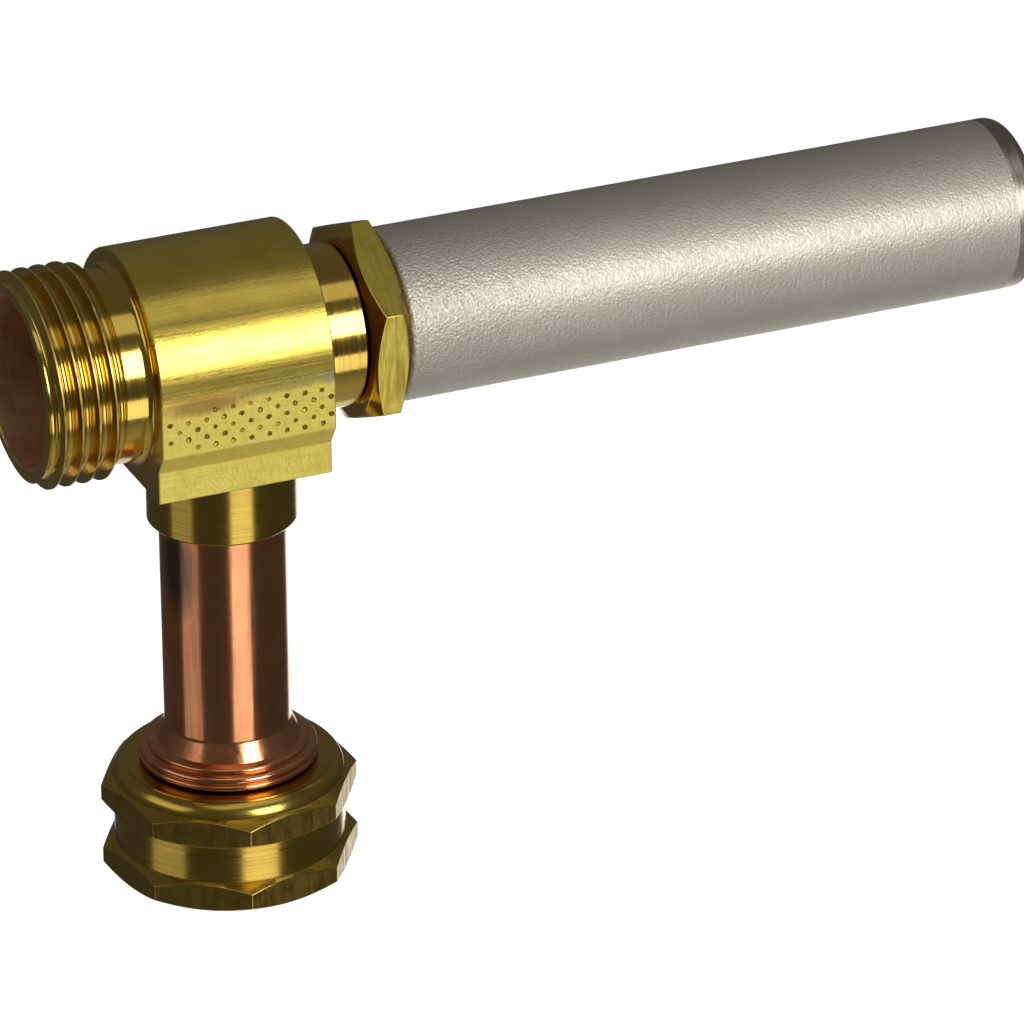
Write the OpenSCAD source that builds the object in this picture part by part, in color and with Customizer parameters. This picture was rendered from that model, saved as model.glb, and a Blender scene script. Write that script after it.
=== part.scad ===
// Water hammer arrestor for a washing machine tap: a tee with a sprung air chamber on its run.
// Frame: +Z up along the branch, +X along the air chamber, origin on the branch axis at the start of
// the inlet thread, one lead-in chamfer above the nut's lower face.

/* [Tee body] */
// Diameter of the round top of the body bar
body_d = 28.7; // [26.5:0.1:32]
// Length of the body along the run
body_len = 22.65; // [22:0.05:30]
// Distance from the outlet end of the body to the branch axis
branch_from_end = 12.9; // [11:0.1:15]
// Height of the flat gripped sides below the run axis
side_drop = 7; // [4:0.1:8]
// Inward step from the flat sides to the foot, on each side
foot_step = 1.65; // [1:0.05:3.5]
// Height of the sloping part of that step
foot_slope = 2.5; // [2:0.1:5]
// Height of the straight foot below the slope
foot_strip = 4.2; // [3:0.1:8]
// Diameter of the round boss under the foot
boss_d = 18.8; // [18.2:0.1:22]
// Length of the boss below the foot
boss_len = 9.3; // [8:0.1:14]
// Chamfer at the lower end of the boss
boss_chamfer = 0.3; // [0.3:0.05:1.1]

/* [Outlet end] */
// Major diameter of the outlet hose thread
outlet_thread_d = 26.9; // [26.4:0.05:27.4]
// Length of the threaded barrel from the rim to the relief
outlet_thread_len = 10.1; // [6:0.1:14]
// Pitch of the outlet thread
outlet_pitch = 2.21; // [1.8:0.01:2.8]
// Width of the flat on the thread's crests
outlet_crest_w = 0.33; // [0.2:0.01:0.6]
// Width of the flat between the thread's ridges
outlet_root_w = 0.5; // [0.2:0.05:0.8]
// Plain land between the rim and the first ridge
rim_land = 0.75; // [0.05:0.05:1]
// Diameter of the turned relief behind the thread and of the rim
outlet_relief_d = 24.2; // [23.4:0.1:25]
// Length of the relief
outlet_relief_len = 3.5; // [2.5:0.1:8]
// Radius of the fillet where the relief meets the body
outlet_fillet = 1.1; // [0.5:0.1:2]
// Diameter of the outlet bore
outlet_bore_d = 21.4; // [17.5:0.1:21.6]
// Depth of the outlet bore from the rim
outlet_bore_depth = 17; // [10:0.1:22]
// Chamfer at the mouth of the outlet bore
mouth_chamfer = 0.2; // [0.1:0.05:0.6]

/* [Waterways in the body] */
// Diameter of the run bore behind the outlet bore
run_bore_d = 15; // [11:0.1:16]
// Diameter of the branch bore above the tube socket
branch_bore_d = 13.8; // [10:0.1:15]
// Depth of the socket for the tail tube in the boss
socket_depth = 9; // [6:0.1:12]
// Radial solder gap round the tail tube
solder_gap = 0.06; // [0.03:0.01:0.12]

/* [Neck] */
// Outside diameter of the neck on the air chamber side
neck_d = 20.6; // [19:0.1:24]
// Length of the neck
neck_len = 6.2; // [4:0.1:8]
// Chamfer at the end of the neck
neck_chamfer = 0.4; // [0.1:0.05:0.8]
// Diameter of the pipe thread that joins the adapter to the neck
joint_thread_d = 17.1; // [16.2:0.1:17.8]
// Length of the adapter's pipe thread
joint_thread_len = 8.4; // [6:0.1:9]
// Radial clearance of the plain thread cylinders
thread_clearance = 0.08; // [0.04:0.01:0.15]

/* [Hex adapter] */
// Hexagon size across flats
hex_af = 24; // [22.5:0.1:28]
// Hexagon thickness with its chamfers
hex_t = 4.55; // [3.5:0.05:7]
// Chamfer angle of the hexagon, from its face
hex_chamfer_angle = 26; // [20:1:40]
// Diameter of the flat ring left on the hexagon's faces
hex_face_d = 23.1; // [21.9:0.1:23.6]
// Gap between the end of the neck and the hexagon
hex_gap = 0.15; // [0.1:0.05:1]
// Turn of the hexagon about the run, corner upwards at 0
hex_turn = 6; // [-30:1:30]
// Diameter of the water passage through the adapter
adapter_bore_d = 11; // [7:0.1:13]
// Length of the plug inside the air chamber, past the rolled lip
plug_len = 9; // [7:0.1:16]
// Distance of the seal groove from the plug's inner end
plug_groove_inset = 2.6; // [2:0.1:4]

/* [Air chamber] */
// Outside diameter of the air chamber tube
chamber_d = 21.9; // [21:0.05:26]
// Wall of the air chamber tube
chamber_wall = 0.9; // [0.6:0.05:1.4]
// Length of the air chamber tube
chamber_len = 86.5; // [76:0.5:130]
// Outside corner radius of the closed end
chamber_end_r = 1.5; // [0.95:0.05:3]
// Thickness of the closed end
chamber_end_t = 1.2; // [0.8:0.05:2.5]
// Inward reach of the rolled lip
lip_reach = 0.8; // [0.5:0.05:1.2]
// Thickness of the rolled lip
lip_t = 1; // [0.7:0.05:1.6]
// Radius of the lip's rounded outer edge
lip_edge = 0.6; // [0.3:0.05:0.75]
// Clearance of the lip in the plug's groove
lip_play = 0.1; // [0.05:0.05:0.2]
// Gap between the hexagon and the rolled lip
lip_gap = 0.65; // [0.2:0.05:1]

/* [Piston] */
// Length of the piston
piston_len = 17; // [14:0.1:24]
// Radial running clearance of the piston in the air chamber
piston_clearance = 0.15; // [0.08:0.01:0.25]
// Distance of each seal groove from its end of the piston
piston_groove_inset = 3; // [2:0.1:4]
// Diameter of the hollow on the air side
piston_hollow_d = 12; // [8:0.1:13]
// Depth of that hollow
piston_hollow_depth = 11; // [6:0.1:11.5]
// Gap between the piston at rest and the plug
piston_rest_gap = 0.1; // [0.05:0.05:0.5]

/* [Seal rings] */
// Depth of the seal grooves in the plug and in the piston
groove_depth = 1.6; // [1.2:0.05:2]
// Width of the seal grooves
groove_w = 2.2; // [2.1:0.05:3]
// Radial clearance of a seal ring to the groove floor and to the wall
seal_clearance = 0.05; // [0.02:0.01:0.08]

/* [Tail tube] */
// Outside diameter of the copper tube
tube_d = 15.9; // [15:0.1:16.6]
// Wall of the copper tube
tube_wall = 1; // [0.7:0.05:1.3]
// Length of bare tube between the boss and the flare
tube_len = 28.1; // [15:0.1:60]
// Height of the flare cone
flare_h = 1.8; // [1.2:0.05:4]
// Outside diameter of the lower roll of the bead
bead_d = 22.6; // [21.6:0.1:23.4]
// Outside diameter of the upper roll of the bead
upper_roll_d = 20.5; // [19.8:0.1:21.4]
// Height of the upper roll of the bead
upper_roll_h = 1.6; // [1.2:0.05:2.4]
// Height of the lower roll of the bead
lower_roll_h = 1.6; // [1:0.05:2]
// Diameter of the collar on which the nut turns
collar_d = 19; // [18:0.1:19.6]
// Diameter of the flange that holds the nut
flange_d = 23.8; // [22.5:0.1:24.2]
// Thickness of the flange
flange_t = 1.4; // [0.9:0.05:2]

/* [Swivel nut] */
// Octagon size across flats
nut_af = 30.2; // [29.6:0.1:34]
// Height of each octagon band with its chamfers
band_h = 4.05; // [3:0.05:6]
// Chamfer angle of the octagon bands, from their faces
nut_chamfer_angle = 31; // [20:1:38]
// Diameter of the waist between the bands and of the shoulder
waist_d = 29.2; // [28.4:0.1:29.5]
// Height of the waist
waist_h = 4.8; // [3:0.1:10]
// Height of the dome above the upper band
dome_h = 1.8; // [1.4:0.05:3]
// Radius of the dome's rounded shoulder
dome_r = 2.5; // [2.2:0.05:4]
// Diameter of the dome's flat top ring
dome_top_d = 27; // [25:0.1:27.6]
// Thickness of the inner shoulder that bears on the flange
shoulder_t = 3; // [2.2:0.1:4.5]
// Wall diameter of the female hose thread
inlet_thread_d = 24.8; // [24.5:0.05:25.4]
// Length of the female thread above its lead-in chamfer
inlet_thread_len = 5.2; // [4:0.1:9]
// Lead-in chamfer of the female thread
inlet_chamfer = 1; // [0.5:0.05:1.3]
// Diameter of the washer recess above the thread
recess_d = 25.8; // [25.5:0.05:26.6]
// Turn of the octagon about the branch, from a corner facing -Y
nut_turn = -12; // [-22:1:22]
// Radial clearance between the nut and the collar
swivel_clearance = 0.3; // [0.2:0.05:0.5]
// End clearance between the nut, the bead and the flange
swivel_play = 0.25; // [0.15:0.05:0.5]

/* [Hose washer] */
// Thickness of the washer
washer_t = 3; // [2:0.1:3.4]
// Hole diameter of the washer
washer_hole_d = 15.6; // [12:0.1:17]
// Radial clearance of the washer in the nut
washer_clearance = 0.1; // [0.05:0.05:0.3]
// Gap between the washer and the flange
washer_gap = 0.15; // [0.1:0.05:0.5]

/* [Hidden] */
// Overlap of pieces that are joined or cut
eps = 0.1;
// Sides of the adapter's hexagon and of the nut's octagon
hex_sides = 6;
nut_sides = 8;
$fn = 96;

// Heights along the branch, from the start of the inlet thread up
nut_bottom = -inlet_chamfer;
nut_h = 2 * band_h + waist_h + dome_h;
nut_top = nut_bottom + nut_h;
shoulder_z = nut_top - shoulder_t;
flange_top = shoulder_z - swivel_play;
flange_bottom = flange_top - flange_t;
bead_bottom = nut_top + swivel_play;
bead_top = bead_bottom + lower_roll_h + upper_roll_h;
crease_z = bead_top + flare_h;
boss_bottom = crease_z + tube_len;
foot_depth = side_drop + foot_slope + foot_strip;
foot_z = boss_bottom + boss_len;
run_z = foot_z + foot_depth;
tube_top = boss_bottom + socket_depth;

// Radii that several pieces share
chamber_ri = chamber_d / 2 - chamber_wall;
lip_ri = chamber_ri - lip_reach;
piston_r = chamber_ri - piston_clearance;
groove_floor_r = piston_r - groove_depth;
seal_r = (chamber_ri - groove_floor_r) / 2 - seal_clearance;
seal_ring_r = (chamber_ri + groove_floor_r) / 2;
tube_ri = tube_d / 2 - tube_wall;
collar_ri = collar_d / 2 - tube_wall;
nut_hole_r = collar_d / 2 + swivel_clearance;
foot_w = body_d - 2 * foot_step;

// Places along the run, from the branch axis
body_start = -branch_from_end;
body_end = body_start + body_len;
relief_x = body_start - outlet_relief_len;
rim_x = relief_x - outlet_thread_len;
neck_x = body_end + neck_len;
hex_x = neck_x + hex_gap;
hex_end = hex_x + hex_t;
chamber_x = hex_end + lip_gap;
plug_x = chamber_x + lip_t + lip_play;
plug_end = plug_x + plug_len;
piston_x = plug_end + piston_rest_gap;
joint_thread_x = neck_x - joint_thread_len;

// Puts a solid made along +Z onto the run, starting at x
module on_run(x = 0) {
    translate([x, 0, run_z]) rotate([0, 90, 0]) children();
}

// A chamfered band as a profile: radius r, foot radius r0 at both ends, from z to z + h
function band_profile(r0, r, z, h, angle) =
    let (rise = (r - r0) * tan(angle))
    [[r0, z], [r, z + rise], [r, z + h - rise], [r0, z + h]];

// A ring of round section
module seal_ring(ring_r, section_r) {
    rotate_extrude() translate([ring_r, 0]) circle(section_r);
}

// Section of the extruded body bar: round top, flat sides, sloping step and foot
module bar_section() {
    side = body_d / 2;
    foot = foot_w / 2;
    circle(side);
    polygon([[-side, 0], [-side, -side_drop], [-foot, -side_drop - foot_slope], [-foot, -foot_depth],
             [foot, -foot_depth], [foot, -side_drop - foot_slope], [side, -side_drop], [side, 0]]);
}

// Turned outlet end with rim, thread ridges, relief and fillet, made along +Z from the rim.
// The ridges are rings, so that each crest stays a full cylinder for the mating thread.
module outlet_end() {
    root = outlet_relief_d / 2;
    crest = outlet_thread_d / 2;
    half_crest = outlet_crest_w / 2;
    half_ridge = (outlet_pitch - outlet_root_w) / 2;
    body_face = outlet_thread_len + outlet_relief_len;
    rotate_extrude() {
        square([root, body_face + eps]);
        for (z = [rim_land + half_ridge : outlet_pitch : outlet_thread_len - half_ridge])
            polygon([[root - eps, z - half_ridge], [root, z - half_ridge], [crest, z - half_crest],
                     [crest, z + half_crest], [root, z + half_ridge], [root - eps, z + half_ridge]]);
        difference() {
            translate([root - eps, body_face - outlet_fillet]) square(outlet_fillet + eps);
            translate([root + outlet_fillet, body_face - outlet_fillet]) circle(outlet_fillet);
        }
    }
}

// Boss under the foot with its chamfer, from its lower end up into the body
module branch_boss() {
    r = boss_d / 2;
    translate([0, 0, boss_bottom]) rotate_extrude()
        polygon([[0, 0], [r - boss_chamfer, 0], [r, boss_chamfer], [r, boss_len + eps], [0, boss_len + eps]]);
}

// Neck on the air chamber side with its chamfer
module run_neck() {
    r = neck_d / 2;
    on_run(body_end - eps) rotate_extrude()
        polygon([[0, 0], [r, 0], [r, neck_len + eps - neck_chamfer], [r - neck_chamfer, neck_len + eps],
                 [0, neck_len + eps]]);
}

// Waterways: outlet bore, run bore, adapter thread, tube socket and branch bore
module body_bores() {
    bore = outlet_bore_d / 2;
    on_run(rim_x) {
        translate([0, 0, -eps]) cylinder(h = outlet_bore_depth + eps, r = bore);
        translate([0, 0, -eps]) cylinder(h = mouth_chamfer + eps, r1 = bore + mouth_chamfer + eps, r2 = bore);
    }
    on_run(rim_x + outlet_bore_depth - eps) cylinder(h = neck_x - rim_x, d = run_bore_d);
    on_run(joint_thread_x - thread_clearance)
        cylinder(h = joint_thread_len + thread_clearance + eps, r = joint_thread_d / 2 + thread_clearance);
    translate([0, 0, boss_bottom - eps]) cylinder(h = socket_depth + eps, r = tube_d / 2 + solder_gap);
    translate([0, 0, boss_bottom]) cylinder(h = run_z - boss_bottom, d = branch_bore_d);
}

// Brass tee body
module tee_body() {
    color("darkgoldenrod") difference() {
        union() {
            translate([body_start, 0, run_z]) rotate([90, 0, 90]) linear_extrude(body_len) bar_section();
            on_run(rim_x) outlet_end();
            branch_boss();
            run_neck();
        }
        body_bores();
    }
}

// Brass adapter: pipe thread, hexagon and the plug that closes the air chamber
module hex_adapter() {
    corner = hex_af / 2 / cos(180 / hex_sides);
    face = hex_face_d / 2;
    lip_groove = lip_ri - lip_play;
    plug_r = chamber_ri - piston_clearance;
    groove_end = plug_len - plug_groove_inset;
    color("goldenrod") difference() {
        union() {
            on_run(joint_thread_x) cylinder(h = hex_x - joint_thread_x + eps, d = joint_thread_d);
            on_run(hex_x) rotate([0, 0, hex_turn]) intersection() {
                cylinder(h = hex_t, r = corner, $fn = hex_sides);
                rotate_extrude()
                    polygon(concat([[0, 0]], band_profile(face, corner, 0, hex_t, hex_chamfer_angle),
                                   [[0, hex_t]]));
            }
            on_run(hex_end - eps) cylinder(h = plug_x - hex_end + 2 * eps, r = lip_groove);
            on_run(plug_x) difference() {
                cylinder(h = plug_len, r = plug_r);
                translate([0, 0, groove_end - groove_w]) difference() {
                    cylinder(h = groove_w, r = plug_r + eps);
                    cylinder(h = groove_w, r = groove_floor_r);
                }
            }
        }
        on_run(joint_thread_x - eps) cylinder(h = plug_end - joint_thread_x + 2 * eps, d = adapter_bore_d);
    }
}

// Stainless air chamber: a drawn tube with a closed end and a lip rolled in behind the plug
module air_chamber() {
    r = chamber_d / 2;
    end_start = chamber_len - chamber_end_r;
    color("silver") on_run(chamber_x) rotate_extrude() difference() {
        union() {
            translate([0, lip_edge]) square([r, end_start - lip_edge]);
            square([r - lip_edge, end_start]);
            square([r - chamber_end_r, chamber_len]);
            translate([r - lip_edge, lip_edge]) circle(lip_edge);
            translate([r - chamber_end_r, end_start]) circle(chamber_end_r);
        }
        translate([0, -eps]) square([lip_ri, lip_t + 2 * eps]);
        translate([0, lip_t]) square([chamber_ri, chamber_len - lip_t - chamber_end_t]);
    }
}

// Rubber ring that seals the plug in the air chamber
module chamber_seal() {
    color("dimgray") on_run(plug_end - plug_groove_inset - groove_w / 2) seal_ring(seal_ring_r, seal_r);
}

// Plastic piston with two seal grooves and a hollow on the air side
module piston() {
    far_groove = piston_len - piston_groove_inset - groove_w;
    color("ivory") on_run(piston_x) difference() {
        cylinder(h = piston_len, r = piston_r);
        for (z = [piston_groove_inset, far_groove])
            translate([0, 0, z]) difference() {
                cylinder(h = groove_w, r = piston_r + eps);
                cylinder(h = groove_w, r = groove_floor_r);
            }
        translate([0, 0, piston_len - piston_hollow_depth])
            cylinder(h = piston_hollow_depth + eps, d = piston_hollow_d);
    }
}

// Seal ring on the water side of the piston
module piston_seal_front() {
    color("dimgray") on_run(piston_x + piston_groove_inset + groove_w / 2) seal_ring(seal_ring_r, seal_r);
}

// Seal ring on the air side of the piston
module piston_seal_rear() {
    color("dimgray")
        on_run(piston_x + piston_len - piston_groove_inset - groove_w / 2) seal_ring(seal_ring_r, seal_r);
}

// Copper tail tube: soldered end, flare cone, rolled bead, collar and flange
module tail_tube() {
    r = tube_d / 2;
    collar = collar_d / 2;
    flange = flange_d / 2;
    lower_r = lower_roll_h / 2;
    upper_r = upper_roll_h / 2;
    lower_centre = bead_d / 2 - lower_r;
    upper_centre = upper_roll_d / 2 - upper_r;
    color("peru") rotate_extrude() difference() {
        union() {
            polygon([[0, flange_bottom], [flange, flange_bottom], [flange, flange_top], [collar, flange_top],
                     [collar, bead_bottom], [lower_centre, bead_bottom], [upper_centre, bead_top],
                     [r, crease_z], [r, tube_top], [0, tube_top]]);
            translate([lower_centre, bead_bottom + lower_r]) circle(lower_r);
            translate([upper_centre, bead_top - upper_r]) circle(upper_r);
        }
        polygon([[0, flange_bottom - eps], [collar_ri, flange_bottom - eps],
                 [collar_ri, bead_top - tube_wall], [tube_ri, crease_z - tube_wall],
                 [tube_ri, tube_top + eps], [0, tube_top + eps]]);
    }
}

// Brass swivel nut: two chamfered octagon bands, a turned waist and a domed shoulder
module swivel_nut() {
    corner = nut_af / 2 / cos(180 / nut_sides);
    upper_z = band_h + waist_h;
    waist = waist_d / 2;
    bands_h = upper_z + band_h;
    thread = inlet_thread_d / 2;
    recess_start = inlet_chamfer + inlet_thread_len;
    foot = [waist, bands_h];
    top = [dome_top_d / 2, nut_h];
    chord = top - foot;
    inward = [-chord[1], chord[0]] / norm(chord);
    arc_centre = (foot + top) / 2 + inward * sqrt(dome_r ^ 2 - (norm(chord) / 2) ^ 2);
    color("darkgoldenrod") translate([0, 0, nut_bottom]) rotate([0, 0, nut_turn]) difference() {
        union() {
            intersection() {
                rotate([0, 0, -90]) cylinder(h = bands_h, r = corner, $fn = nut_sides);
                rotate_extrude()
                    polygon(concat([[0, 0]], band_profile(waist, corner, 0, band_h, nut_chamfer_angle),
                                   band_profile(waist, corner, upper_z, band_h, nut_chamfer_angle),
                                   [[0, bands_h]]));
            }
            rotate_extrude() intersection() {
                translate([0, bands_h - eps]) square([waist, dome_h + eps]);
                union() {
                    translate(arc_centre) circle(dome_r);
                    translate([0, bands_h - eps]) square([arc_centre[0], dome_h + eps]);
                }
            }
        }
        translate([0, 0, -eps]) cylinder(h = recess_start + eps, r = thread);
        translate([0, 0, recess_start]) cylinder(h = nut_h - shoulder_t - recess_start, d = recess_d);
        translate([0, 0, -eps])
            cylinder(h = inlet_chamfer + eps, r1 = thread + inlet_chamfer + eps, r2 = thread);
        cylinder(h = nut_h + eps, r = nut_hole_r);
    }
}

// Rubber hose washer inside the nut
module hose_washer() {
    color("black") translate([0, 0, flange_bottom - washer_gap - washer_t]) difference() {
        cylinder(h = washer_t, r = recess_d / 2 - washer_clearance);
        translate([0, 0, -eps]) cylinder(h = washer_t + 2 * eps, d = washer_hole_d);
    }
}

tee_body();
hex_adapter();
air_chamber();
chamber_seal();
piston();
piston_seal_front();
piston_seal_rear();
tail_tube();
swivel_nut();
hose_washer();
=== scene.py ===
"""Looks of the water hammer arrestor: threads, gripped sides, worked metals, studio and camera.

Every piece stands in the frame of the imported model. Its sizes are in millimetres until a mesh is made,
the studio is in metres, and angles are in degrees.
"""

import logging
import math
import random
from collections.abc import Callable
from dataclasses import dataclass, field
from enum import Enum

import bmesh
import bpy
from mathutils import Matrix, Vector, noise


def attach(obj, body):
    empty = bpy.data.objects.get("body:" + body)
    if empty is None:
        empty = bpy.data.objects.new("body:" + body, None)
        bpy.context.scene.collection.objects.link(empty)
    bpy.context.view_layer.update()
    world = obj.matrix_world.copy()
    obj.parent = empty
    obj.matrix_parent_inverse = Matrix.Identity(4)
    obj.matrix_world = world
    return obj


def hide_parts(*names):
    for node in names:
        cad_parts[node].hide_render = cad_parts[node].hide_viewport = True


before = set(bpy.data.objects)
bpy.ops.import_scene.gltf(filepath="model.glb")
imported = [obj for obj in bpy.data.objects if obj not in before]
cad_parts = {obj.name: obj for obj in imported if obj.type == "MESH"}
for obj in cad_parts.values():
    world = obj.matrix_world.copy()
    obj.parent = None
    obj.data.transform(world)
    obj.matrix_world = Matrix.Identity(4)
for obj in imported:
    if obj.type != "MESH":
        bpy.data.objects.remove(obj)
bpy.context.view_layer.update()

LOG = logging.getLogger("arrestor")
MM = 0.001
# Height of the run's axis above the origin
RUN_Z = 70.05
# Steps of a full turn on the lathe
SEGMENTS = 160
# Distance at which two points are one, in metres
WELD = 1e-7
# How far a cutter or an added part reaches past a face
REACH = 1.0
# Least part of a normal along an axis for a face across it, and most for a face along it
ACROSS, ALONG = 0.9, 0.05
# Usual ends of a noise's values
NOISE_LOW, NOISE_HIGH = 0.3, 0.7
# Numbers of the Mix node's colour sockets
MIX_FIRST, MIX_SECOND, MIX_RESULT = 6, 7, 2

Point = tuple[float, float]
Triple = tuple[float, float, float]
Rgba = tuple[float, float, float, float]
Object, Face, Material = bpy.types.Object, bpy.types.MeshPolygon, bpy.types.Material
Socket, Tree, Node = bpy.types.NodeSocket, bpy.types.NodeTree, bpy.types.Node


class Axis(Enum):
    """The two lines that the turned pieces are made about."""

    RUN = "run"
    BRANCH = "branch"

    @property
    def direction(self) -> Vector:
        """Unit vector along the axis."""
        return Vector((1, 0, 0)) if self is Axis.RUN else Vector((0, 0, 1))

    @property
    def centre(self) -> Vector:
        """A point on the axis, in metres."""
        return Vector((0, 0, RUN_Z * MM)) if self is Axis.RUN else Vector((0, 0, 0))

    def place(self, along: float, radius: float) -> Vector:
        """A point at a distance along the axis and a radius from it.

        Args:
            along: Distance along the axis.
            radius: Distance from the axis.

        Returns:
            The point in metres, on the +Y side of the run or the +X side of the branch.
        """
        if self is Axis.RUN:
            return Vector((along, radius, RUN_Z)) * MM
        return Vector((radius, 0, along)) * MM


class Join(Enum):
    """How one solid is put together with another."""

    ADD = "UNION"
    CUT = "DIFFERENCE"
    KEEP_SHARED = "INTERSECT"


def linear(hex_colour: str) -> Rgba:
    """Turns an sRGB hex colour into a linear one.

    Args:
        hex_colour: Colour such as "#c8a040".

    Returns:
        Linear red, green, blue and an alpha of 1.
    """
    parts = [int(hex_colour[i:i + 2], 16) / 255 for i in (1, 3, 5)]
    low = [p / 12.92 if p <= 0.04045 else ((p + 0.055) / 1.055) ** 2.4 for p in parts]
    return low[0], low[1], low[2], 1.0


def add_node(tree: Tree, kind: str, inputs: dict | None = None, **settings: str | bool) -> Node:
    """Adds a node, sets it and links it.

    Args:
        tree: Tree that gets the node.
        kind: Blender's name of the node.
        inputs: Value, source socket or source node for each input, by name or number. A node gives its
            first output.
        **settings: Properties of the node.

    Returns:
        The new node.
    """
    node = tree.nodes.new(kind)
    for name, value in settings.items():
        setattr(node, name, value)
    for key, value in (inputs or {}).items():
        if isinstance(value, Node):
            value = value.outputs[0]
        if isinstance(value, Socket):
            tree.links.new(value, node.inputs[key])
        else:
            node.inputs[key].default_value = value
    return node


def empty_tree(owner: Material | bpy.types.World) -> Tree:
    """Switches a material or world to nodes and empties its tree.

    Args:
        owner: The material or world.

    Returns:
        Its node tree.
    """
    owner.use_nodes = True
    owner.node_tree.nodes.clear()
    return owner.node_tree


def as_object(bm: bmesh.types.BMesh, name: str) -> Object:
    """Makes a closed bmesh into an object in the scene, with its faces outwards.

    Args:
        bm: The shape, which is freed.
        name: Name of the object.

    Returns:
        The object, at the origin.
    """
    bmesh.ops.remove_doubles(bm, verts=bm.verts, dist=WELD)
    bmesh.ops.recalc_face_normals(bm, faces=bm.faces)
    mesh = bpy.data.meshes.new(name)
    bm.to_mesh(mesh)
    bm.free()
    made = bpy.data.objects.new(name, mesh)
    bpy.context.scene.collection.objects.link(made)
    return made


def chain(bm: bmesh.types.BMesh, places: list[Vector]) -> list:
    """Joins points to a closed line.

    Args:
        bm: Shape that gets the line.
        places: Points in metres.

    Returns:
        The new vertices and edges.
    """
    verts = [bm.verts.new(p) for p in places]
    edges = [bm.edges.new((a, b)) for a, b in zip(verts, verts[1:] + verts[:1])]
    return [*verts, *edges]


def turned(name: str, outline: list[Point], axis: Axis, hollow: bool = False) -> Object:
    """Turns an outline about an axis.

    Args:
        name: Name of the object.
        outline: Points as distance along the axis and radius.
        axis: Axis of the lathe.
        hollow: Whether the outline closes on itself, and not on the axis at its two ends.

    Returns:
        The turned solid.
    """
    if not hollow:
        outline = [(outline[0][0], 0), *outline, (outline[-1][0], 0)]
    bm = bmesh.new()
    geom = chain(bm, [axis.place(a, r) for a, r in outline])
    bmesh.ops.spin(bm, geom=geom, cent=axis.centre, axis=axis.direction, angle=math.tau,
                   steps=SEGMENTS, use_merge=True)
    bmesh.ops.remove_doubles(bm, verts=bm.verts, dist=WELD)
    bmesh.ops.dissolve_degenerate(bm, dist=WELD / 10, edges=bm.edges)
    return as_object(bm, name)


def arc(along: float, radius: float, size: float, start: float, end: float, steps: int = 8) -> list[Point]:
    """Points of an arc in a turned outline.

    Args:
        along: Centre along the axis.
        radius: Centre's distance from the axis.
        size: Radius of the arc.
        start: First angle, from the axis direction towards larger radius.
        end: Last angle.
        steps: Number of chords.

    Returns:
        The points, as distance along the axis and radius.
    """
    angles = [math.radians(start + (end - start) * i / steps) for i in range(steps + 1)]
    return [(along + size * math.cos(a), radius + size * math.sin(a)) for a in angles]


def extrude(bm: bmesh.types.BMesh, faces: list[bmesh.types.BMFace], along: Vector) -> None:
    """Extrudes faces and keeps the first ones, so that the bar is closed.

    Args:
        bm: Shape that has the faces.
        faces: The faces.
        along: Way to the other end.
    """
    grown = bmesh.ops.extrude_face_region(bm, geom=faces, use_keep_orig=True)["geom"]
    bmesh.ops.translate(bm, verts=[g for g in grown if isinstance(g, bmesh.types.BMVert)], vec=along * MM)


def prism(name: str, corner_r: float, sides: int, stand: Matrix, along: Vector) -> Object:
    """Extrudes a regular polygon.

    Args:
        name: Name of the object.
        corner_r: Distance of the corners from the middle.
        sides: Number of sides.
        stand: Place and turn of the first end.
        along: Way to the other end.

    Returns:
        The bar.
    """
    bm = bmesh.new()
    bmesh.ops.create_circle(bm, cap_ends=True, radius=corner_r * MM, segments=sides, matrix=stand)
    extrude(bm, bm.faces[:], along)
    return as_object(bm, name)


def combine(base: Object, tool: Object, join: Join) -> None:
    """Puts a second solid together with a first one and removes the second.

    Args:
        base: Solid that stays.
        tool: Solid that is used up.
        join: How they are put together.
    """
    boolean = base.modifiers.new("join", "BOOLEAN")
    boolean.object, boolean.operation, boolean.solver = tool, join.value, "MANIFOLD"
    bpy.context.view_layer.update()
    shape = base.evaluated_get(bpy.context.evaluated_depsgraph_get())
    mesh = bpy.data.meshes.new_from_object(shape)
    base.modifiers.clear()
    old, base.data = base.data, mesh
    bpy.data.meshes.remove(old)
    bpy.data.objects.remove(tool)


def ease_edges(piece: Object, width: float, least_angle: float = 12) -> None:
    """Breaks the sharp outer edges of a solid.

    Args:
        piece: The solid.
        width: Width of the broken edge.
        least_angle: Edges that turn by more than this get it.
    """
    bm = bmesh.new()
    bm.from_mesh(piece.data)
    bmesh.ops.remove_doubles(bm, verts=bm.verts, dist=20 * WELD)
    sharp = [e for e in bm.edges if e.is_manifold and e.calc_face_angle_signed() > math.radians(least_angle)]
    bmesh.ops.bevel(bm, geom=sharp, offset=width * MM, offset_type="OFFSET", affect="EDGES", segments=2,
                    profile=0.5, material=-1, clamp_overlap=True)
    bm.to_mesh(piece.data)
    bm.free()


def shade(piece: Object, least_angle: float = 32) -> None:
    """Shades a piece smooth up to its hard edges.

    Args:
        piece: The piece.
        least_angle: Edges that turn by more than this stay hard.
    """
    mesh = piece.data
    mesh.polygons.foreach_set("use_smooth", [True] * len(mesh.polygons))
    mesh.set_sharp_from_angle(angle=math.radians(least_angle))
    weighted = piece.modifiers.new("even_shading", "WEIGHTED_NORMAL")
    weighted.keep_sharp = True


def hand_over(piece: Object, node: str, body: str) -> None:
    """Lets a piece stand for its CAD node.

    Args:
        piece: The dressed piece.
        node: CAD node that it replaces.
        body: CAD body that it rides on.
    """
    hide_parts(node)
    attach(piece, body)
    LOG.info("%s stands for %s: %d faces", piece.name, node, len(piece.data.polygons))


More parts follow.
